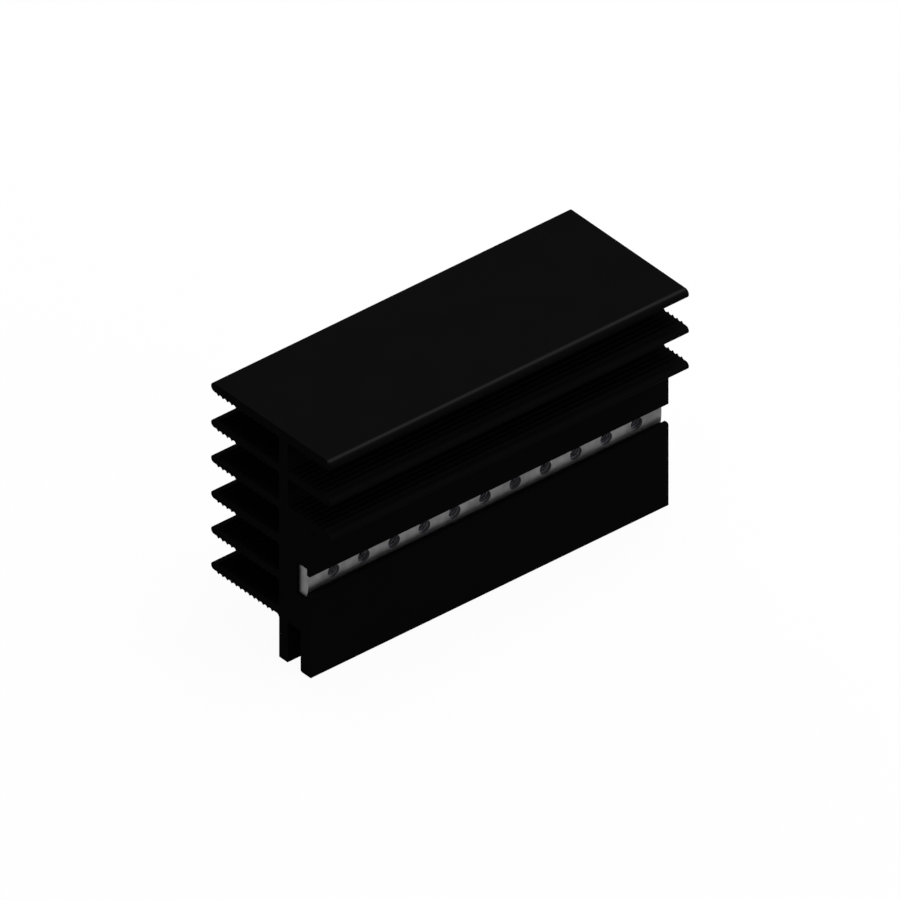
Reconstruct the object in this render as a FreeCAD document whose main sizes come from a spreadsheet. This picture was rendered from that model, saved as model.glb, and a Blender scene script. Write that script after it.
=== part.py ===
"""Extruded board heat sink with a threaded rail held captive in its T-slot, in millimetres.

The extrusion runs along X. Its long fins point to +Y and its short fins to -Y, over the flat face that
power devices are screwed against. It stands on its foot, +Z up, with the origin on the foot plane at the
centre of the length and of the width over the fin tips.
"""
import FreeCAD
import Part
import Sketcher
import os

# Driving sizes. Levels are heights above the foot plane.
SIZES = {
    # Sawn length of the extrusion.
    "body_length": 75.0,
    # Upright web that carries every fin.
    "web_wall": 2.12,
    # Foot: an open slot between the web and an outer leg that carries the device face.
    "foot_slot_width": 3.24,
    "foot_slot_height": 8.0,
    "outer_leg": 2.54,
    "foot_round": 0.4,
    # Fins, counted over the whole height. The highest is a plate with a plain upper face.
    "long_fins": 6,
    "short_fins": 3,
    "lowest_fin_level": 9.0,
    "fin_pitch": 7.0,
    "fin_wall": 1.4,
    "top_rise": 1.0,
    "long_fin_reach": 17.0,
    "short_fin_overhang": 5.1,
    "root_round": 0.7,
    # Sharp ridges along the fins' broad faces, with flanks at 45 degrees.
    "ridge_rise": 0.36,
    "ridge_pitch": 1.12,
    "first_ridge": 1.78,
    # T-slot for the rail.
    "rail_level": 17.9,
    "mouth_height": 3.56,
    "lip_wall": 0.93,
    "lip_round": 0.4,
    "slot_depth": 2.52,
    "slot_height": 6.1,
    # Rail: a strip with a crowned front and a row of threaded holes, short of both sawn ends.
    "rail_clearance": 0.1,
    "rail_recess": 0.5,
    "rail_edge_wall": 1.9,
    "rail_crown": 0.38,
    "rail_corner_round": 0.2,
    "rail_hole_radius": 1.23,
    "rail_hole_pitch": 6.35,
    "rail_end_land": 4.0,
}

# Places that follow from the sizes, as expressions on the sheet. Across is measured from the web's
# long-fin face, and is negative towards the device face.
LONG_TIP = "Sizes.long_fin_reach"
MIDDLE_OF_WEB = "-Sizes.web_wall / 2"
SLOT_FAR_SIDE = "-(Sizes.web_wall + Sizes.foot_slot_width)"
DEVICE_FACE = "-(Sizes.web_wall + Sizes.foot_slot_width + Sizes.outer_leg)"
SHORT_TIP = f"({DEVICE_FACE} - Sizes.short_fin_overhang)"
CENTRE_SHIFT = f"(-{SHORT_TIP} - {LONG_TIP}) / 2"
LOWEST_LEVEL = "Sizes.lowest_fin_level"
TOP_LEVEL = f"({LOWEST_LEVEL} + (Sizes.long_fins - 1) * Sizes.fin_pitch)"
LOWEST_SHORT_LEVEL = f"({LOWEST_LEVEL} + (Sizes.long_fins - Sizes.short_fins) * Sizes.fin_pitch)"
HALF_WALL = "Sizes.fin_wall / 2"
LIP_INNER_FACE = f"({DEVICE_FACE} + Sizes.lip_wall)"
SLOT_BACK = f"({LIP_INNER_FACE} + Sizes.slot_depth)"
SHORT_REACH = f"(-{SHORT_TIP} - Sizes.web_wall)"
RAIL_LENGTH = "(Sizes.body_length - 2 * Sizes.rail_recess)"
RAIL_HALF_HEIGHT = "(Sizes.slot_height / 2 - Sizes.rail_clearance)"
RAIL_HOLES = f"(floor(({RAIL_LENGTH} - 2 * Sizes.rail_end_land) / Sizes.rail_hole_pitch) + 1)"

START, END, CENTRE = 1, 2, 3
ORIGIN = (-1, START)


def make_sheet(doc):
    """Put the driving sizes into the document's sheet, one named cell each."""
    sheet = doc.addObject("Spreadsheet::Sheet", "Sizes")
    for row, (name, value) in enumerate(SIZES.items(), start=1):
        sheet.set(f"A{row}", name)
        sheet.set(f"B{row}", str(value))
        sheet.setAlias(f"B{row}", name)
    doc.recompute()
    return sheet


def make_body(doc, name):
    body = doc.addObject("PartDesign::Body", name)
    body.Label = name
    return body


def origin_feature(body, role):
    return next(item for item in body.Origin.OriginFeatures if item.Role == role)


def new_sketch(body, name, plane="YZ_Plane"):
    sketch = body.newObject("Sketcher::SketchObject", name)
    sketch.AttachmentSupport = [(origin_feature(body, plane), "")]
    sketch.MapMode = "FlatFace"
    return sketch


def bind(sketch, dimensions):
    """Add dimensions at their rough sizes and bind each to an expression on the sheet."""
    rough = [Sketcher.Constraint(kind, *where, value) for kind, where, value, _ in dimensions]
    numbers = sketch.addConstraint(rough)
    for number, (_, _, _, expression) in zip(numbers, dimensions):
        sketch.setExpression(f"Constraints[{number}]", expression)


def place(sketch, places):
    """Hold points of edges at their distances across and up from the sketch's origin."""
    dimensions = []
    for edge, end, across, up in places:
        point = sketch.getPoint(edge, end)
        if across:
            dimensions.append(("DistanceX", (*ORIGIN, edge, end), point.x, across))
        if up:
            dimensions.append(("DistanceY", (*ORIGIN, edge, end), point.y, up))
    bind(sketch, dimensions)


def draw_outline(sketch, corners, arc_after=None, bulge=None):
    """Draw a closed outline through corners that are held at their distances from the origin.

    Each corner is a rough point, and its distances across and up as expressions. The edge after the
    corner arc_after is an arc that passes near the point bulge. Gives the number of each edge.
    """
    points = [FreeCAD.Vector(*rough, 0) for rough, _, _ in corners]
    shapes = [Part.LineSegment(here, there) for here, there in zip(points, points[1:] + points[:1])]
    ends = [(START, END)] * len(shapes)
    if arc_after is not None:
        here, middle, there = points[arc_after], FreeCAD.Vector(*bulge, 0), points[(arc_after + 1) % len(points)]
        shapes[arc_after] = Part.Arc(here, middle, there)
        if (middle - here).cross(there - middle).z < 0:
            ends[arc_after] = (END, START)
    edges = list(sketch.addGeometry(shapes, False))
    following = list(zip(edges, ends))[1:] + [(edges[0], ends[0])]
    sketch.addConstraint([
        Sketcher.Constraint("Coincident", edge, last, next_edge, next_ends[0])
        for edge, (_, last), (next_edge, next_ends) in zip(edges, ends, following)
    ])
    place(sketch, [
        (edge, first, across, up)
        for edge, (first, _), (_, across, up) in zip(edges, ends, corners)
    ])
    return edges


def draw_rectangle(sketch, low, high):
    """Draw a rectangle between two corners, each given as expressions across and up."""
    (low_across, low_up), (high_across, high_up) = low, high
    draw_outline(sketch, [
        ((0, 0), low_across, low_up), ((1, 0), high_across, low_up),
        ((1, 1), high_across, high_up), ((0, 1), low_across, high_up),
    ])


def pad(body, sketch, name, length="Sizes.body_length"):
    feature = body.newObject("PartDesign::Pad", name)
    feature.Profile = sketch
    feature.SideType = "Symmetric"
    feature.setExpression("Length", length)
    return feature


def cut_through(body, sketch, name):
    """Cut a section right through the body, both ways from the sketch."""
    feature = body.newObject("PartDesign::Pocket", name)
    feature.Profile = sketch
    feature.SideType = "Symmetric"
    feature.Type = "ThroughAll"
    return feature


def repeat(body, feature, name, axis, pitch, count, backwards=False):
    """Repeat a feature in a row along one of the body's axes. Without one, it is part of a larger pattern."""
    pattern = body.newObject("PartDesign::LinearPattern", name)
    if feature:
        pattern.Originals = [feature]
    pattern.Reversed = backwards
    pattern.Direction = (origin_feature(body, axis), [""])
    pattern.Mode = "Spacing"
    pattern.setExpression("Offset", pitch)
    pattern.setExpression("Occurrences", count)
    return pattern


def round_edges(body, name, edges, radius):
    """Round the named edges of the body's present solid."""
    solid = body.Tip
    feature = body.newObject("PartDesign::Fillet", name)
    feature.Base = (solid, edges)
    feature.setExpression("Radius", radius)
    body.Tip = feature


def long_edges(shape):
    """Give the name, the edge and the middle of each straight edge that runs the whole length."""
    for number, edge in enumerate(shape.Edges, start=1):
        run = edge.lastVertex().Point - edge.firstVertex().Point
        if abs(run.x) > 0.99 * shape.BoundBox.XLength:
            yield f"Edge{number}", edge, edge.CenterOfMass


def inner_corners(shape):
    """Name the long edges where two faces meet at a right-angled inner corner, such as a fin's root."""
    nudge = 0.01
    names = []
    for name, edge, middle in long_edges(shape):
        faces = shape.ancestorsOfType(edge, Part.Face)
        if len(faces) != 2:
            continue
        first, second = (face.normalAt(*face.Surface.parameter(middle)) for face in faces)
        beside = middle + (first - second) * nudge
        if abs(first.dot(second)) < nudge and shape.isInside(beside, nudge / 100, False):
            names.append(name)
    return names


def edges_at(shape, places):
    """Name the long edges that pass through the given places, each a distance across and up."""
    near = 0.01
    return [
        name
        for name, _, middle in long_edges(shape)
        if any(abs(middle.y - across) < near and abs(middle.z - up) < near for across, up in places)
    ]


def pad_rectangle(body, name, low, high):
    sketch = new_sketch(body, f"{name}Section")
    draw_rectangle(sketch, low, high)
    return pad(body, sketch, name)


def pad_fin(body, name, tip, side, underside, upper):
    """Pad one fin from the web: flat faces and a full round at its tip. side is its way along Y."""
    sketch = new_sketch(body, f"{name}Section")
    half_wall = f"({upper} - ({underside})) / 2"
    nose_start = f"{tip} - {side} * {half_wall}"
    rough_reach, rough_wall = side * 3, 0.5
    nose_after = 1
    edges = draw_outline(sketch, [
        ((0, -rough_wall), MIDDLE_OF_WEB, underside), ((rough_reach, -rough_wall), nose_start, underside),
        ((rough_reach, rough_wall), nose_start, upper), ((0, rough_wall), MIDDLE_OF_WEB, upper),
    ], nose_after, (rough_reach + side * rough_wall, 0))
    place(sketch, [(edges[nose_after], CENTRE, nose_start, None)])
    return pad(body, sketch, name)


def add_walls(doc, body):
    """Web, mounting block, and the top plate over both sides."""
    pad_rectangle(body, "Web", ("-Sizes.web_wall", "0"), ("0", TOP_LEVEL))
    pad_rectangle(body, "MountingBlock", (DEVICE_FACE, "0"), (MIDDLE_OF_WEB, LOWEST_SHORT_LEVEL))
    underside, upper = f"{TOP_LEVEL} - {HALF_WALL}", f"{TOP_LEVEL} + Sizes.top_rise"
    pad_fin(body, "TopPlateLong", LONG_TIP, 1, underside, upper)
    pad_fin(body, "TopPlateShort", SHORT_TIP, -1, underside, upper)
    doc.recompute()


def add_fins(doc, body):
    """Plain fins below the top plate, one drawn for each side and repeated upwards."""
    for name, tip, side, level, count in (
        ("LongFin", LONG_TIP, 1, LOWEST_LEVEL, "Sizes.long_fins - 1"),
        ("ShortFin", SHORT_TIP, -1, LOWEST_SHORT_LEVEL, "Sizes.short_fins - 1"),
    ):
        fin = pad_fin(body, name, tip, side, f"{level} - {HALF_WALL}", f"{level} + {HALF_WALL}")
        doc.recompute()
        body.Tip = repeat(body, fin, f"{name}s", "Z_Axis", "Sizes.fin_pitch", count)
        doc.recompute()
    round_edges(body, "FinRoots", inner_corners(body.Tip.Shape), "Sizes.root_round")
    doc.recompute()


def add_slots(doc, body, sheet):
    """Slot in the foot, and the T-slot whose lips hold the rail."""
    past = "Sizes.lip_wall"
    half_slot, half_mouth = "Sizes.slot_height / 2", "Sizes.mouth_height / 2"
    for name, low, high in (
        ("FootSlot", (SLOT_FAR_SIDE, f"-{past}"), ("-Sizes.web_wall", "Sizes.foot_slot_height")),
        ("RailSlot", (LIP_INNER_FACE, f"Sizes.rail_level - {half_slot}"),
         (SLOT_BACK, f"Sizes.rail_level + {half_slot}")),
        ("RailMouth", (f"{DEVICE_FACE} - {past}", f"Sizes.rail_level - {half_mouth}"),
         (f"{LIP_INNER_FACE} + {past}", f"Sizes.rail_level + {half_mouth}")),
    ):
        sketch = new_sketch(body, f"{name}Section")
        draw_rectangle(sketch, low, high)
        cut_through(body, sketch, name)
    doc.recompute()
    slot_far_side = -(sheet.web_wall + sheet.foot_slot_width)
    device_face = slot_far_side - sheet.outer_leg
    lips = [(device_face, sheet.rail_level + side * sheet.mouth_height / 2) for side in (-1, 1)]
    round_edges(body, "Lips", edges_at(body.Tip.Shape, lips), "Sizes.lip_round")
    doc.recompute()
    round_edges(body, "LegCorner", edges_at(body.Tip.Shape, [(slot_far_side, 0)]), "Sizes.foot_round")


def ridge_count(reach):
    """Number of ridges between a fin's tip and its root round, on a face of the given reach."""
    return f"floor(({reach} - Sizes.first_ridge - Sizes.ridge_rise - Sizes.root_round) / Sizes.ridge_pitch) + 1"


def add_ridge_rows(doc, body, name, tip, side, faces, reach, gaps=None):
    """Cover fin faces with ridges from the tip towards the root, and so in each gap up the side.

    Each face is its level and the way that it looks, 1 for up and -1 for down. A ridge's flanks run on
    into the wall, so that the two share volume and not only a face.
    """
    bite = f"{HALF_WALL} / 2"
    middle = f"{tip} - {side} * Sizes.first_ridge"
    sketch = new_sketch(body, f"{name}Section")
    for level, way in faces:
        base = f"{level} - {way} * {bite}"
        draw_outline(sketch, [
            ((-1, -way), f"{middle} - Sizes.ridge_rise - {bite}", base),
            ((1, -way), f"{middle} + Sizes.ridge_rise + {bite}", base),
            ((0, way), middle, f"{level} + {way} * Sizes.ridge_rise"),
        ])
    ridge = pad(body, sketch, name)
    ridge.AllowMultiFace = True
    doc.recompute()
    inwards = ("Y_Axis", "Sizes.ridge_pitch", ridge_count(reach), side > 0)
    if not gaps:
        body.Tip = repeat(body, ridge, f"{name}Row", *inwards)
    else:
        rows = body.newObject("PartDesign::MultiTransform", f"{name}Rows")
        rows.Originals = [ridge]
        rows.Transformations = [
            repeat(body, None, f"{name}Inwards", *inwards),
            repeat(body, None, f"{name}Upwards", "Z_Axis", "Sizes.fin_pitch", gaps),
        ]
        body.Tip = rows
    doc.recompute()


def add_ridges(doc, body):
    """Sharp ridges on every broad fin face except the top plate's upper one."""
    lowest_long, lowest_short = f"{LOWEST_LEVEL} - {HALF_WALL}", f"{LOWEST_SHORT_LEVEL} - {HALF_WALL}"
    add_ridge_rows(doc, body, "LowestRidge", LONG_TIP, 1, [(lowest_long, -1)], LONG_TIP)
    add_ridge_rows(
        doc, body, "OverhangRidge", SHORT_TIP, -1, [(lowest_short, -1)], "Sizes.short_fin_overhang",
    )
    for name, tip, side, level, reach, gaps in (
        ("LongRidge", LONG_TIP, 1, LOWEST_LEVEL, LONG_TIP, "Sizes.long_fins - 1"),
        ("ShortRidge", SHORT_TIP, -1, LOWEST_SHORT_LEVEL, SHORT_REACH, "Sizes.short_fins - 1"),
    ):
        gap_faces = [(f"{level} + {HALF_WALL}", 1), (f"{level} + Sizes.fin_pitch - {HALF_WALL}", -1)]
        add_ridge_rows(doc, body, name, tip, side, gap_faces, reach, gaps)


def make_extrusion(doc, sheet):
    """Heat sink extrusion: one solid, sawn to length."""
    body = make_body(doc, "heat_sink_extrusion")
    add_walls(doc, body)
    add_fins(doc, body)
    add_slots(doc, body, sheet)
    doc.recompute()
    add_ridges(doc, body)
    body.setExpression(".Placement.Base.y", CENTRE_SHIFT)
    return body


def make_rail(doc):
    """Threaded rail: flat back on the slot's back, crowned front, bored at the threads' inner diameter."""
    body = make_body(doc, "threaded_rail")
    section = new_sketch(body, "RailSection")
    rough_wall, rough_front, rough_half = -2.0, -2.4, 3.0
    edge_wall, low, high = "-Sizes.rail_edge_wall", f"-{RAIL_HALF_HEIGHT}", RAIL_HALF_HEIGHT
    crown_after = 3
    edges = draw_outline(section, [
        ((rough_wall, -rough_half), edge_wall, low), ((0, -rough_half), "0", low),
        ((0, rough_half), "0", high), ((rough_wall, rough_half), edge_wall, high),
    ], crown_after, (rough_front, 0))
    crown = edges[crown_after]
    crown_radius = f"({RAIL_HALF_HEIGHT} ^ 2 + Sizes.rail_crown ^ 2) / (2 * Sizes.rail_crown)"
    bind(section, [("Radius", (crown,), section.Geometry[crown].Radius, crown_radius)])
    pad(body, section, "Rail", RAIL_LENGTH)
    doc.recompute()
    corners = [name for name, _, _ in long_edges(body.Tip.Shape)]
    round_edges(body, "RailCorners", corners, "Sizes.rail_corner_round")
    doc.recompute()
    sketch = new_sketch(body, "HoleSection", "XZ_Plane")
    circle = sketch.addGeometry(Part.Circle(FreeCAD.Vector(0, 0, 0), FreeCAD.Vector(0, 0, 1), 1.0), False)
    place(sketch, [(circle, CENTRE, f"-({RAIL_HOLES} - 1) * Sizes.rail_hole_pitch / 2", "0")])
    bind(sketch, [("Radius", (circle,), sketch.Geometry[circle].Radius, "Sizes.rail_hole_radius")])
    hole = cut_through(body, sketch, "Hole")
    doc.recompute()
    body.Tip = repeat(body, hole, "HoleRow", "X_Axis", "Sizes.rail_hole_pitch", RAIL_HOLES)
    body.setExpression(".Placement.Base.y", f"{CENTRE_SHIFT} + {SLOT_BACK}")
    body.setExpression(".Placement.Base.z", "Sizes.rail_level")
    return body


def check_document(doc, bodies):
    """Stop if a feature failed or a piece is not one sound solid."""
    failed = [item.Name for item in doc.Objects if {"Invalid", "Error"} & set(item.State)]
    if failed:
        raise RuntimeError(f"these features failed: {failed}")
    for body in bodies:
        shape = body.Shape
        if shape.isNull() or not shape.isValid() or len(shape.Solids) != 1:
            raise RuntimeError(f"{body.Label} is not one sound solid")


def main():
    doc = FreeCAD.newDocument("HeatSink")
    sheet = make_sheet(doc)
    bodies = [make_extrusion(doc, sheet), make_rail(doc)]
    doc.recompute()
    check_document(doc, bodies)
    os.makedirs("parts", exist_ok=True)
    for body in bodies:
        print(body.Label, "volume", round(body.Shape.Volume, 1), "box", body.Shape.BoundBox)
        body.Shape.exportStep(os.path.join("parts", f"{body.Label}.step"))


main()
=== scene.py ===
# %% [markdown]
# # An extruded heat sink with a tapped rail
#
# The object is a length of black anodised aluminium extrusion. Long ridged fins stand out on one
# side and short ones on the other, over a flat face that power transistors are screwed against. A
# grey steel rail with a row of tapped holes lies in a T-slot in that face. This lesson lights it,
# gives each metal its finish and cuts real threads into the rail. All lengths are in metres, and
# the extrusion runs along X.

import math

import bmesh
import bpy
from mathutils import Matrix, Vector


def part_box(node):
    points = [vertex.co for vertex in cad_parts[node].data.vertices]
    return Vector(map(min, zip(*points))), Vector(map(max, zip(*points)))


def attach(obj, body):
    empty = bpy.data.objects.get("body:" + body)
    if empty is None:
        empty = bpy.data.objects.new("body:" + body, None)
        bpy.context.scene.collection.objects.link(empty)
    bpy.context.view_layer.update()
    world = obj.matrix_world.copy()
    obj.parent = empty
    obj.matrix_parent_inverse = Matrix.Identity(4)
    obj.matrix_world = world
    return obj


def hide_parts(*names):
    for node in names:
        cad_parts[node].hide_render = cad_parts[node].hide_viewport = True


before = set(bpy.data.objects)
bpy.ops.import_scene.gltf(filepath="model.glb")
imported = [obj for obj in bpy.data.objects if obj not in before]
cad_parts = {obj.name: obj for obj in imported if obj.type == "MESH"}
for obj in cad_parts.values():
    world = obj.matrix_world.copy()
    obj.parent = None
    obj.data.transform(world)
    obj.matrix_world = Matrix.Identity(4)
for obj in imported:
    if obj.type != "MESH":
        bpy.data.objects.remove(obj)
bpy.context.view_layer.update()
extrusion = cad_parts["heat_sink_extrusion"]
extrusion_low, extrusion_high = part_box("heat_sink_extrusion")
rail_low, rail_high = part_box("threaded_rail")
print("pieces from the frame:", sorted(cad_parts))

# %% [markdown]
# ## The camera
#
# The photograph is an isometric product view: parallel edges of the extrusion stay parallel, and
# all three axes are foreshortened by the same amount. An orthographic camera gives that, turned
# 40 degrees from the device face and lifted by the isometric angle, whose tangent is one over the
# square root of two. A long lens far away would come close, but would still let the far end
# shrink a little.

# %% Set up the camera
MM = 0.001
VIEW_TURN = math.radians(-40)
VIEW_LIFT = math.atan(1 / math.sqrt(2))
PICTURE_WIDTH = 144.5 * MM
CAMERA_DISTANCE = 0.6
MIDDLE = Vector((0, 0, 22.5 * MM))

towards_camera = Vector((
    math.sin(VIEW_TURN) * math.cos(VIEW_LIFT),
    -math.cos(VIEW_TURN) * math.cos(VIEW_LIFT),
    math.sin(VIEW_LIFT),
))
camera_data = bpy.data.cameras.new("camera")
camera_data.type = "ORTHO"
camera_data.ortho_scale = PICTURE_WIDTH
camera = bpy.data.objects.new("camera", camera_data)
camera.location = MIDDLE + towards_camera * CAMERA_DISTANCE
camera.rotation_euler = towards_camera.to_track_quat("Z", "Y").to_euler()
bpy.context.scene.collection.objects.link(camera)
bpy.context.scene.camera = camera
bpy.context.scene.view_settings.view_transform = "Standard"
print("camera looks down by", round(math.degrees(VIEW_LIFT), 2), "degrees")

# %% [markdown]
# ## The lamps
#
# A black that takes nearly all the light shows its shape only by how bright one face is against
# the next. So a wide lamp overhead makes the top plate the lightest face, and one in front gives
# the device face about half of that. Weaker low ones stand at the two sawn ends and at the back,
# and they reach in between the fins. Square area lamps are used because soft windows light most
# product photographs.

# %% Light the object
LAMP_DISTANCE = 0.5


def add_lamp(name, direction, width, power):
    """Put a square lamp out along a direction, facing the object. The power is in watts."""
    lamp_data = bpy.data.lights.new(name, "AREA")
    lamp_data.size = width
    lamp_data.energy = power
    lamp = bpy.data.objects.new(name, lamp_data)
    away = Vector(direction).normalized()
    lamp.location = MIDDLE + away * LAMP_DISTANCE
    lamp.rotation_euler = away.to_track_quat("Z", "Y").to_euler()
    bpy.context.scene.collection.objects.link(lamp)
    print(name, "gives", power, "watts over", width, "metres")


add_lamp("overhead_lamp", direction=(0.15, -0.1, 1.0), width=0.45, power=2.1)
add_lamp("front_lamp", direction=(0.525, -0.813, 0.254), width=0.06, power=0.5)
add_lamp("near_end_lamp", direction=(-1.0, -0.3, 0.35), width=0.3, power=0.2)
add_lamp("far_end_lamp", direction=(1.0, 0.3, 0.12), width=0.12, power=0.8)
add_lamp("back_lamp", direction=(0.2, 1.0, 0.12), width=0.12, power=1.2)

# %% [markdown]
# ## What the background rays see
#
# The photograph's background is pure white. More light could bleach a pale floor, but it would
# spoil the colours of the object too. The Light Path node can tell instead what kind of ray has
# arrived. Where it comes straight from the camera, or by way of a reflection or through glass,
# the background gives plain white, and every other ray meets an ordinary surface. The world uses
# this first: it is white to look at, and only a dim light from all round otherwise.

# %% Make the world
WORLD_LIGHT = 0.15
WHITE = (1, 1, 1, 1)


def white_to_the_eye(tree):
    """Give 1 for rays that show the background: camera, glossy and transmission rays."""
    path = tree.nodes.new("ShaderNodeLightPath")
    seen = path.outputs["Is Camera Ray"]
    for ray in ("Is Glossy Ray", "Is Transmission Ray"):
        either = tree.nodes.new("ShaderNodeMath")
        either.operation = "MAXIMUM"
        tree.links.new(seen, either.inputs[0])
        tree.links.new(path.outputs[ray], either.inputs[1])
        seen = either.outputs[0]
    return seen


world = bpy.data.worlds.new("studio")
world.use_nodes = True
sky = world.node_tree.nodes["Background"]
strength = world.node_tree.nodes.new("ShaderNodeMapRange")
strength.inputs["To Min"].default_value = WORLD_LIGHT
world.node_tree.links.new(white_to_the_eye(world.node_tree), strength.inputs["Value"])
world.node_tree.links.new(strength.outputs["Result"], sky.inputs["Strength"])
sky.inputs["Color"].default_value = WHITE
bpy.context.scene.world = world
print("the world's light is", WORLD_LIGHT)

# %% [markdown]
# ## The floor
#
# The object stands on a wide sheet of paper, with a hair's breadth between them so that the two
# surfaces never lie in one plane. It is an ordinary matt sheet mixed with a plain white glow. The
# glow's share is nearly all for rays that show the background and nothing for the rest, so the
# sheet looks white and still keeps a faint shadow. Its own colour is pale to the eye and greyer
# to light that bounces up under the fins.

# %% Lay the floor
FLOOR_WIDTH = 3.0
FLOOR_CLEARANCE = 0.02 * MM
SHADOW_DEPTH = 0.05
PAPER_SEEN = (0.96, 0.96, 0.96, 1)
PAPER_BOUNCE = (0.3, 0.3, 0.3, 1)


def place_in_scene(name, mesh):
    """Make an object of a mesh, at the origin, and put it in the scene."""
    piece = bpy.data.objects.new(name, mesh)
    bpy.context.scene.collection.objects.link(piece)
    return piece


floor_mesh = bpy.data.meshes.new("floor")
floor_bm = bmesh.new()
bmesh.ops.create_grid(
    floor_bm, x_segments=1, y_segments=1, size=FLOOR_WIDTH / 2,
    matrix=Matrix.Translation((0, 0, -FLOOR_CLEARANCE)),
)
floor_bm.to_mesh(floor_mesh)
floor_bm.free()
floor = place_in_scene("floor", floor_mesh)
print("floor is", FLOOR_WIDTH, "metres wide")

# %% [markdown]
# ## Short ways to join nodes
#
# Every material below is a small net of nodes round one Principled BSDF. Adding and joining them
# by hand takes four lines each, so a helper does it: it adds a node, feeds its inputs with a
# number, a colour or another node's output, and has short forms for what comes up most, such as a
# ramp or a blend of two colours. Patterns are placed by Object coordinates, which are metres
# here, so their scales are real sizes.

# %% Define the node helper
class Nodes:
    """One material, and short ways to add and join its nodes."""

    def __init__(self, name):
        self.material = bpy.data.materials.new(name)
        self.material.use_nodes = True
        self.tree = self.material.node_tree
        self.shader = self.tree.nodes["Principled BSDF"]
        self.place = self.tree.nodes.new("ShaderNodeTexCoord").outputs["Object"]

    def feed(self, target, source):
        """Join an input to another node's output, or give it a plain value."""
        if isinstance(source, bpy.types.NodeSocket):
            self.tree.links.new(source, target)
        else:
            target.default_value = source

    def add(self, kind, inputs=(), **settings):
        """Add a node, change its settings and feed its inputs, named or numbered."""
        node = self.tree.nodes.new(kind)
        for name, value in settings.items():
            setattr(node, name, value)
        for name, source in dict(inputs).items():
            self.feed(node.inputs[name], source)
        return node

    def effect(self, group, inputs=()):
        """Place one of the shared effects, and give its output."""
        inputs = {"Vector": self.place, **dict(inputs)}
        return self.add("ShaderNodeGroup", inputs, node_tree=group).outputs[0]

    def ramp(self, value, start, end, low=0.0, high=1.0):
        """Go from low to high as the value goes from start to end."""
        inputs = {
            "Value": value, "From Min": start, "From Max": end, "To Min": low, "To Max": high,
        }
        return self.add("ShaderNodeMapRange", inputs).outputs["Result"]

    def combine(self, operation, first, second):
        """Do a sum on two numbers, and keep the result between 0 and 1."""
        settings = {"operation": operation, "use_clamp": True}
        return self.add("ShaderNodeMath", {0: first, 1: second}, **settings).outputs[0]

    def blend(self, share, first, second):
        """Mix two colours, by the second one's share. Its colour sockets are numbers 6 and 7."""
        inputs = {0: share, 6: first, 7: second}
        return self.add("ShaderNodeMix", inputs, data_type="RGBA").outputs[2]

    def relief(self, height, depth):
        """Feed the shader's normal with fine marks that are about as deep as this, in metres."""
        bump = self.add("ShaderNodeBump", {"Height": height, "Distance": depth})
        self.feed(self.shader.inputs["Normal"], bump.outputs["Normal"])


short_forms = [name for name in vars(Nodes) if not name.startswith("_")]
print("the helper's short forms:", short_forms)

# %% [markdown]
# ## White paper
#
# The paper is the first use of the helper. Its Principled BSDF has no gloss at all, because a
# glossy floor would mirror the fins, and the photograph shows no reflection.

# %% Make the paper's material
NO_GLOSS = 0.0
FULLY_MATT = 1.0
PLAIN_WHITE_GLOW = 1.0

paper = Nodes("white_paper")
paper_seen = white_to_the_eye(paper.tree)
paper.feed(paper.shader.inputs["Base Color"], paper.blend(paper_seen, PAPER_BOUNCE, PAPER_SEEN))
paper.shader.inputs["Roughness"].default_value = FULLY_MATT
paper.shader.inputs["Specular IOR Level"].default_value = NO_GLOSS
glow = paper.add("ShaderNodeEmission", {"Color": WHITE, "Strength": PLAIN_WHITE_GLOW})
glow_share = paper.combine("MULTIPLY", paper_seen, 1 - SHADOW_DEPTH)
mixed = paper.add(
    "ShaderNodeMixShader", {"Fac": glow_share, 1: paper.shader.outputs[0], 2: glow.outputs[0]}
)
paper.feed(paper.tree.nodes["Material Output"].inputs["Surface"], mixed.outputs[0])
floor_mesh.materials.append(paper.material)
print("the paper gives up", SHADOW_DEPTH, "of its white in full shade")

# %% [markdown]
# ## Lines drawn along the metal
#
# Two marks come from how such parts are made, and more than one metal carries them, so each is a
# node group that is built once. The first is fine lines along the length, left by the die on the
# extrusion and by the rollers on the strip. Noise that is stretched along X gives lines that
# start and end softly, which a plain wave pattern would not. A group gives out plain values, and
# each material feeds them into its own shader.

# %% Define the group of drawn lines
LINE_STRETCH = 60.0
LINE_DETAIL = 3.0
LINE_ROUGHNESS = 0.65
DIE_LINES_PER_METRE = 3200.0


def new_group(name, inputs, output):
    """Make a node group with a Vector input, named number inputs and one named number output."""
    group = bpy.data.node_groups.new(name, "ShaderNodeTree")
    group.interface.new_socket("Vector", in_out="INPUT", socket_type="NodeSocketVector")
    for socket, value in inputs.items():
        made = group.interface.new_socket(socket, in_out="INPUT", socket_type="NodeSocketFloat")
        made.default_value = value
    group.interface.new_socket(output, in_out="OUTPUT", socket_type="NodeSocketFloat")
    return group, group.nodes.new("NodeGroupInput"), group.nodes.new("NodeGroupOutput")


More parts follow.
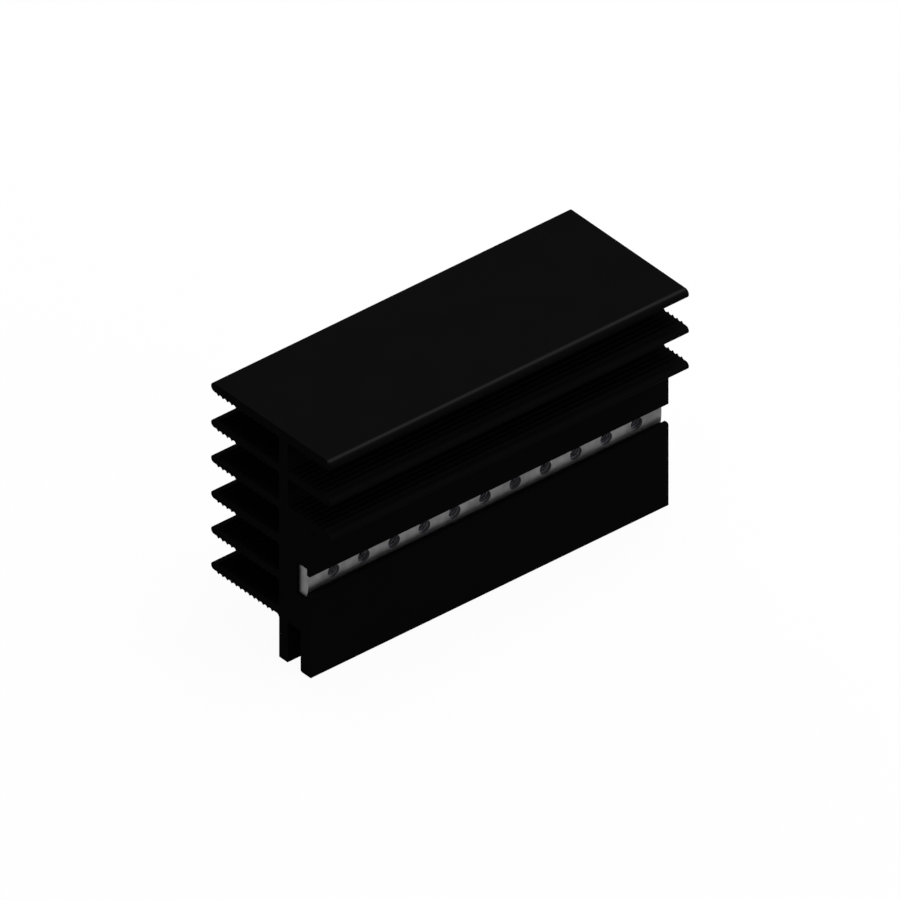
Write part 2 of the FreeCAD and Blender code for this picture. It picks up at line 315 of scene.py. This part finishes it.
drawn_lines, drawn_in, drawn_out = new_group(
    "drawn_lines", {"Lines per Metre": DIE_LINES_PER_METRE}, "Height"
)
squeeze = drawn_lines.nodes.new("ShaderNodeVectorMath")
squeeze.operation = "MULTIPLY"
squeeze.inputs[1].default_value = (1 / LINE_STRETCH, 1, 1)
line_noise = drawn_lines.nodes.new("ShaderNodeTexNoise")
line_noise.inputs["Detail"].default_value = LINE_DETAIL
line_noise.inputs["Roughness"].default_value = LINE_ROUGHNESS
drawn_lines.links.new(drawn_in.outputs["Vector"], squeeze.inputs[0])
drawn_lines.links.new(squeeze.outputs["Vector"], line_noise.inputs["Vector"])
drawn_lines.links.new(drawn_in.outputs["Lines per Metre"], line_noise.inputs["Scale"])
drawn_lines.links.new(line_noise.outputs["Fac"], drawn_out.inputs["Height"])
print("drawn_lines stretches its noise", LINE_STRETCH, "times along the metal")

# %% [markdown]
# ## Cloudy unevenness
#
# The second mark is faint clouds. Etching, dyeing and plating never act quite evenly, and oil
# lies in patches. Ordinary noise has the shape, but its values crowd round the middle, so a ramp
# spreads them over 0 to 1.

# %% Define the group of cloudy unevenness
CLOUD_SPREAD = (0.35, 0.65)
CLOUD_DETAIL = 4.0
CLOUD_ROUGHNESS = 0.55
DYE_CLOUDS_PER_METRE = 110.0

cloudy_finish, cloudy_in, cloudy_out = new_group(
    "cloudy_finish", {"Clouds per Metre": DYE_CLOUDS_PER_METRE}, "Mask"
)
cloud_noise = cloudy_finish.nodes.new("ShaderNodeTexNoise")
cloud_noise.inputs["Detail"].default_value = CLOUD_DETAIL
cloud_noise.inputs["Roughness"].default_value = CLOUD_ROUGHNESS
cloud_range = cloudy_finish.nodes.new("ShaderNodeMapRange")
cloud_range.inputs["From Min"].default_value = CLOUD_SPREAD[0]
cloud_range.inputs["From Max"].default_value = CLOUD_SPREAD[1]
cloudy_finish.links.new(cloudy_in.outputs["Vector"], cloud_noise.inputs["Vector"])
cloudy_finish.links.new(cloudy_in.outputs["Clouds per Metre"], cloud_noise.inputs["Scale"])
cloudy_finish.links.new(cloud_noise.outputs["Fac"], cloud_range.inputs["Value"])
cloudy_finish.links.new(cloud_range.outputs["Result"], cloudy_out.inputs["Mask"])
print("groups:", [group.name for group in bpy.data.node_groups])

# %% [markdown]
# ## Black anodising
#
# Anodising grows a thin hard layer on the aluminium, and this one is dyed black. The bare metal
# was etched first, so the finish is matt and deep. In the photograph it reflects almost nothing,
# not even the white round it, so the specular level is close to zero. The colour moves a little
# between two blacks, with the die's lines and with the clouds of the dye, and the lines also make
# it a little glossier or duller.

# %% Make the black
BLACK_LOW = (0.0035, 0.0035, 0.0035, 1)
BLACK_HIGH = (0.0045, 0.0045, 0.0045, 1)
BLACK_SPECULAR = 0.001
BLACK_GLOSS = (0.42, 0.55)
DYE_SHARE = 0.35
DIE_SHARE = 0.7

black = Nodes("anodised_finish")
die_lines = black.effect(drawn_lines, {"Lines per Metre": DIE_LINES_PER_METRE})
dye_clouds = black.effect(cloudy_finish, {"Clouds per Metre": DYE_CLOUDS_PER_METRE})
unevenness = black.combine(
    "ADD", black.combine("MULTIPLY", dye_clouds, DYE_SHARE),
    black.combine("MULTIPLY", die_lines, DIE_SHARE),
)
black_tone = black.blend(unevenness, BLACK_LOW, BLACK_HIGH)
black.feed(black.shader.inputs["Roughness"], black.ramp(die_lines, 0.0, 1.0, *BLACK_GLOSS))
black.shader.inputs["Specular IOR Level"].default_value = BLACK_SPECULAR
extrusion.data.materials.clear()
extrusion.data.materials.append(black.material)
print("the black lies between", BLACK_LOW[0], "and", BLACK_HIGH[0])

# %% [markdown]
# ## Saw marks on the ends
#
# The extrusion is sawn to length, and the saw's teeth leave arcs on the two end faces. An arc is
# where all points are equally far from the saw's axle, so noise that reads only that distance
# gives arcs of uneven depth. How far a face's normal leans along X tells the sawn ends from the
# drawn faces, so one material serves both, with the die's lines on the one and the arcs on the
# other.

# %% Mark the sawn ends
SAW_AXLE = (0, 90 * MM, -120 * MM)
SAW_LINES_PER_METRE = 2600.0
SAW_DETAIL = 2.0
SAWN_LEAN = (0.8, 0.9)
ACROSS_ONLY = (0, 1, 1)
MARK_DEPTH = 0.005 * MM

normal = black.add("ShaderNodeNewGeometry").outputs["True Normal"]
along = black.add("ShaderNodeSeparateXYZ", {"Vector": normal}).outputs["X"]
lean = black.add("ShaderNodeMath", {0: along}, operation="ABSOLUTE").outputs[0]
flat_place = black.add(
    "ShaderNodeVectorMath", {0: black.place, 1: ACROSS_ONLY}, operation="MULTIPLY"
)
from_axle = black.add(
    "ShaderNodeVectorMath", {0: flat_place.outputs["Vector"], 1: SAW_AXLE}, operation="DISTANCE"
)
arcs = black.add(
    "ShaderNodeTexNoise",
    {"W": from_axle.outputs["Value"], "Scale": SAW_LINES_PER_METRE, "Detail": SAW_DETAIL},
    noise_dimensions="1D",
)
sawn = black.ramp(lean, *SAWN_LEAN)
marks = black.add(
    "ShaderNodeMix", {0: sawn, 2: die_lines, 3: arcs.outputs["Fac"]}, data_type="FLOAT"
)
black.relief(marks.outputs[0], MARK_DEPTH)
print("saw arcs are about", round(1 / SAW_LINES_PER_METRE / MM, 2), "mm apart")

# %% [markdown]
# ## A painted highlight and wear along the edges
#
# The top plate has a lighter line where it turns over into its rounded front edge. It is a
# painted
# highlight: a lamp's reflection put into the colour, because a black that is glossy enough to
# show it would also mirror the white surroundings and turn grey. The short fins below have none,
# because the plate shades them from that lamp. At the back all six fins reach equally far, so
# their noses are lighter as rubbed wear. The front line is made of ramps on the place: one up and
# one down across it, and one on the height. The back needs only one up. The two are added, and
# the die lines break them up a little.

# %% Paint the highlight and wear the edges
# One lighter colour serves both: a painted highlight on the top plate's front nose, and wear on
# the back noses.
BLACK_HIGHLIGHT_AND_WORN = (0.02, 0.02, 0.02, 1)
FRONT_STARTS = (extrusion_low.y + 1.2 * MM, extrusion_low.y + 0.75 * MM)
FRONT_ENDS = (extrusion_low.y + 0.3 * MM, extrusion_low.y + 0.65 * MM)
FRONT_HEIGHT = (extrusion_high.z - 0.6 * MM, extrusion_high.z - 0.4 * MM)
BACK_STARTS = (extrusion_high.y - 0.35 * MM, extrusion_high.y - 0.08 * MM)
BREAKS_START, BREAKS_END, BREAKS_LOW = 0.3, 0.6, 0.75

place = black.add("ShaderNodeSeparateXYZ", {"Vector": black.place})
across, height = place.outputs["Y"], place.outputs["Z"]
# The front mask is a painted highlight along the top plate's rounded front edge.
front = black.combine(
    "MULTIPLY", black.ramp(across, *FRONT_STARTS), black.ramp(across, *FRONT_ENDS)
)
front = black.combine("MULTIPLY", front, black.ramp(height, *FRONT_HEIGHT))
# Painted front highlight plus the real wear on the back noses.
highlight_and_wear = black.combine("ADD", front, black.ramp(across, *BACK_STARTS))
breaks = black.ramp(die_lines, BREAKS_START, BREAKS_END, BREAKS_LOW)
highlight_and_wear = black.combine("MULTIPLY", highlight_and_wear, breaks)
black.feed(black.shader.inputs["Base Color"], black.blend(highlight_and_wear, black_tone, BLACK_HIGHLIGHT_AND_WORN))
print("anodised_finish has", len(black.tree.nodes), "nodes")

# %% [markdown]
# ## Zinc plated steel
#
# Plating that has been passivated is a dull grey, slightly cloudy, over the long lines that
# rolling left on the strip. It is metal, so Metallic is 1 and its colour is the colour of its
# reflections. The roughness spreads the dark reflection of the slot's lower lip over the strip's
# lower half, as the photograph shows.

# %% Make the zinc
ZINC_DARK = (0.115, 0.115, 0.117, 1)
ZINC_LIGHT = (0.175, 0.175, 0.177, 1)
ZINC_GLOSS = (0.38, 0.54)
ROLL_DEPTH = 0.005 * MM
ROLL_LINES_PER_METRE = 5200.0
PLATING_CLOUDS_PER_METRE = 420.0
BARE_METAL = 1.0

zinc = Nodes("zinc_finish")
roll_lines = zinc.effect(drawn_lines, {"Lines per Metre": ROLL_LINES_PER_METRE})
plating = zinc.effect(cloudy_finish, {"Clouds per Metre": PLATING_CLOUDS_PER_METRE})
zinc.shader.inputs["Metallic"].default_value = BARE_METAL
zinc.feed(zinc.shader.inputs["Base Color"], zinc.blend(plating, ZINC_DARK, ZINC_LIGHT))
zinc.feed(zinc.shader.inputs["Roughness"], zinc.ramp(roll_lines, 0.0, 1.0, *ZINC_GLOSS))
zinc.relief(roll_lines, ROLL_DEPTH)
print("zinc_finish has", len(zinc.tree.nodes), "nodes")

# %% [markdown]
# ## The threads' own finish
#
# The holes are tapped after the strip is plated, so their walls are bare steel, left matt by the
# tap and darkened by cutting oil that stays in the grooves. It is metal too, only a little darker
# and bluer, with the oil lying in small patches that shine more than the rest.

# %% Make the oiled steel
OIL_DARK = (0.1, 0.1, 0.115, 1)
OIL_LIGHT = (0.15, 0.15, 0.17, 1)
OIL_GLOSS = (0.75, 0.55)
OIL_PATCHES_PER_METRE = 1500.0

oiled = Nodes("oiled_thread_finish")
film = oiled.effect(cloudy_finish, {"Clouds per Metre": OIL_PATCHES_PER_METRE})
oiled.shader.inputs["Metallic"].default_value = BARE_METAL
oiled.feed(oiled.shader.inputs["Base Color"], oiled.blend(film, OIL_DARK, OIL_LIGHT))
oiled.feed(oiled.shader.inputs["Roughness"], oiled.ramp(film, 0.0, 1.0, *OIL_GLOSS))
print("oiled_thread_finish has", len(oiled.tree.nodes), "nodes")

# %% [markdown]
# ## The strip
#
# The rail was rolled, so its section is the same all along: a flat back, two short edges and a
# front that bulges by a few tenths of a millimetre. The bulge is an arc, so one corner point is
# spun round the arc's centre, the back is closed with two more points, and the section is then
# extruded along X. Making it afresh gives the bulge finer steps than the frame's mesh has, which
# a soft reflection along it needs.

# %% Shape the strip
EDGE_WALL = 1.9 * MM
CORNER_ROUND = 0.2 * MM
CORNER_SEGMENTS = 4
CROWN_STEPS = 32
SHARP_CORNER = math.radians(60)
RAIL_LEVEL = (rail_low.z + rail_high.z) / 2
RAIL_LENGTH = rail_high.x - rail_low.x


def shape_strip():
    """Spin the crowned front, close the section, extrude it and round its long corners."""
    half = (rail_high.z - rail_low.z) / 2
    bulge = rail_high.y - rail_low.y - EDGE_WALL
    radius = (half ** 2 + bulge ** 2) / (2 * bulge)
    strip = bmesh.new()
    corner = strip.verts.new((rail_low.x, rail_low.y + bulge, rail_low.z))
    swept = bmesh.ops.spin(
        strip, geom=[corner], cent=(rail_low.x, rail_low.y + radius, RAIL_LEVEL),
        axis=(-1, 0, 0), angle=2 * math.asin(half / radius), steps=CROWN_STEPS, use_merge=False,
    )
    far_corner = next(item for item in swept["geom_last"] if isinstance(item, bmesh.types.BMVert))
    back = [
        strip.verts.new((rail_low.x, rail_high.y, level)) for level in (rail_high.z, rail_low.z)
    ]
    for pair in ((far_corner, back[0]), (back[0], back[1]), (back[1], corner)):
        strip.edges.new(pair)
    section = bmesh.ops.contextual_create(strip, geom=strip.edges[:])["faces"]
    drawn = bmesh.ops.extrude_face_region(strip, geom=section)["geom"]
    moved = [item for item in drawn if isinstance(item, bmesh.types.BMVert)]
    bmesh.ops.translate(strip, verts=moved, vec=(RAIL_LENGTH, 0, 0))
    bmesh.ops.recalc_face_normals(strip, faces=strip.faces)
    long_corners = [
        edge for edge in strip.edges
        if edge.calc_length() > RAIL_LENGTH / 2 and edge.calc_face_angle() > SHARP_CORNER
    ]
    bmesh.ops.bevel(
        strip, geom=long_corners, offset=CORNER_ROUND, offset_type="OFFSET", affect="EDGES",
        segments=CORNER_SEGMENTS, profile=0.5, material=-1,
    )
    return strip


rail_mesh = bpy.data.meshes.new("tapped_rail")
rail_mesh.materials.append(zinc.material)
strip_bm = shape_strip()
strip_bm.to_mesh(rail_mesh)
strip_bm.free()
rail = place_in_scene("tapped_rail", rail_mesh)
print("strip:", round(RAIL_LENGTH / MM, 2), "mm long,", len(rail_mesh.polygons), "faces")

# %% [markdown]
# ## The tap
#
# The rail has a row of M3 threads. The frame holds it with plain bores at the threads' inner
# diameter, which is the size that a drill leaves. A bump could suggest threads from straight
# ahead, but from the side a thread shows as a stepped wall, and that is shape, so a tap is
# modelled and cuts them. It is one toothed profile, swept round the hole's axis with a rise of
# one pitch for each turn. The sweep starts and ends a pitch apart, so its first and last columns
# meet wherever the groove goes on. Merging them leaves only a ring at each end to fill.

# %% Make one tap
THREAD_PITCH = 0.5 * MM
THREAD_OUTER = 1.5 * MM
THREAD_ROOT_FLAT = 0.06 * MM
QUAD = 4
TAP_CORE = 1.1 * MM
TAP_TURNS = 8
TURN_STEPS = 32
SAME_POINT = 0.002 * MM


def sweep_tap():
    """Sweep a toothed profile round the Y axis, from y = 0 upwards, and close it."""
    tap = bmesh.new()
    points = [(TAP_CORE, 0)]
    for turn in range(TAP_TURNS):
        middle = (turn + 0.5) * THREAD_PITCH
        points += [
            (THREAD_OUTER, middle - THREAD_ROOT_FLAT / 2),
            (THREAD_OUTER, middle + THREAD_ROOT_FLAT / 2),
            (TAP_CORE, (turn + 1) * THREAD_PITCH),
        ]
    verts = [tap.verts.new((radius, rise, 0)) for radius, rise in points]
    profile = [tap.edges.new(pair) for pair in zip(verts, verts[1:])]
    bmesh.ops.spin(
        tap, geom=verts + profile, cent=(0, 0, 0), axis=(0, 1, 0),
        dvec=(0, THREAD_PITCH / TURN_STEPS, 0), angle=math.tau, steps=TURN_STEPS, use_merge=False,
    )
    bmesh.ops.remove_doubles(tap, verts=tap.verts, dist=SAME_POINT)
    bmesh.ops.holes_fill(tap, edges=[edge for edge in tap.edges if edge.is_boundary])
    bmesh.ops.triangulate(tap, faces=[face for face in tap.faces if len(face.verts) > QUAD])
    bmesh.ops.recalc_face_normals(tap, faces=tap.faces)
    return tap


tap_bm = sweep_tap()
open_edges = sum(not edge.is_manifold for edge in tap_bm.edges)
print("tap:", len(tap_bm.faces), "faces,", open_edges, "open edges")

# %% [markdown]
# ## Rows of cutters
#
# The real strip is drilled and then tapped, and the mesh is made in the same order, with two
# booleans. Each cutter is a whole row of one shape, spaced at the hole pitch and joined into one
# mesh, so that each row needs one boolean and not eleven. Each tap is turned a few steps further
# than the last, because real holes are tapped one by one and their threads start anywhere.

# %% Set out a row
HOLE_PITCH = 6.35 * MM
HOLE_COUNT = 11


def row_of(name, shape, start, turn_steps=0):
    """Join copies of a cutter, one for each hole, into one mesh object, and use the shape up."""
    one = bpy.data.meshes.new(name)
    shape.to_mesh(one)
    shape.clear()
    for number in range(HOLE_COUNT):
        shift = (number - (HOLE_COUNT - 1) / 2) * HOLE_PITCH
        turned = Matrix.Rotation(number * turn_steps * math.tau / TURN_STEPS, 4, "Y")
        placed = one.copy()
        placed.transform(Matrix.Translation((shift, start, RAIL_LEVEL)) @ turned)
        shape.from_mesh(placed)
        bpy.data.meshes.remove(placed)
    shape.to_mesh(one)
    shape.free()
    one.materials.append(oiled.material)
    return place_in_scene(name, one)


print("the row is", round((HOLE_COUNT - 1) * HOLE_PITCH / MM, 2), "mm long")

# %% [markdown]
# ## Drilling and tapping
#
# Blender has several boolean solvers. The exact one copes with a tap that grazes the drilled
# wall, but now and then it divides a few faces in another way than the last time. The manifold
# solver works on closed meshes only, which the strip and both cutters are, and finds the same
# points and faces each time, so it is used here. It lists the faces in no fixed order, so they
# are sorted at the end. The faces that a cutter leaves take the cutter's material, so the threads
# come out oily and dark inside the plated strip. The tap starts a little way in, so the rim stays
# round, as in the photograph.

# %% Cut the holes
HOLE_RADIUS = 1.23 * MM
RAIL_MIDDLE = (rail_low.y + rail_high.y) / 2
DRILL_LENGTH = 2 * (rail_high.y - rail_low.y)
THREAD_START = 0.2 * MM
START_STEPS = 7
SMOOTH_LIMIT = math.radians(30)
INDEX_STEP = 100000


def cut_away(piece, cutter):
    """Take one closed mesh away from another for good."""
    cut = piece.modifiers.new("cut", "BOOLEAN")
    cut.operation = "DIFFERENCE"
    cut.solver = "MANIFOLD"
    cut.material_mode = "TRANSFER"
    cut.object = cutter
    graph = bpy.context.evaluated_depsgraph_get()
    result = bpy.data.meshes.new_from_object(piece.evaluated_get(graph))
    piece.modifiers.clear()
    piece.data = result
    bpy.data.objects.remove(cutter)


def place_in_list(face):
    """Turn a face's three lowest point numbers, all under INDEX_STEP, into one to sort by."""
    first, second, third = sorted(vert.index for vert in face.verts)[:3]
    return (first * INDEX_STEP + second) * INDEX_STEP + third


drill_bm = bmesh.new()
bmesh.ops.create_cone(
    drill_bm, cap_ends=True, segments=TURN_STEPS, radius1=HOLE_RADIUS, radius2=HOLE_RADIUS,
    depth=DRILL_LENGTH, matrix=Matrix.Rotation(math.radians(90), 4, "X"),
)
cut_away(rail, row_of("drills", drill_bm, RAIL_MIDDLE))
cut_away(rail, row_of("taps", tap_bm, rail_low.y + THREAD_START, START_STEPS))
tapped_bm = bmesh.new()
tapped_bm.from_mesh(rail.data)
tapped_bm.faces.sort(key=place_in_list)
for face in tapped_bm.faces:
    face.smooth = True
tapped_bm.to_mesh(rail.data)
tapped_bm.free()
rail.data.set_sharp_from_angle(angle=SMOOTH_LIMIT)
finishes = [finish.name for finish in rail.data.materials]
print("tapped rail:", len(rail.data.polygons), "faces,", finishes)

# %% [markdown]
# ## The rail in the frame
#
# The frame has one body, because nothing moves: the rail is clamped by the screws that are put
# into it. The tapped rail takes the place of the plain one, which stays in the frame for
# collisions alone.

# %% Put the rail in the frame
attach(rail, "root")
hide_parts("threaded_rail")
print("the tapped rail stands for the plain one")

# %% [markdown]
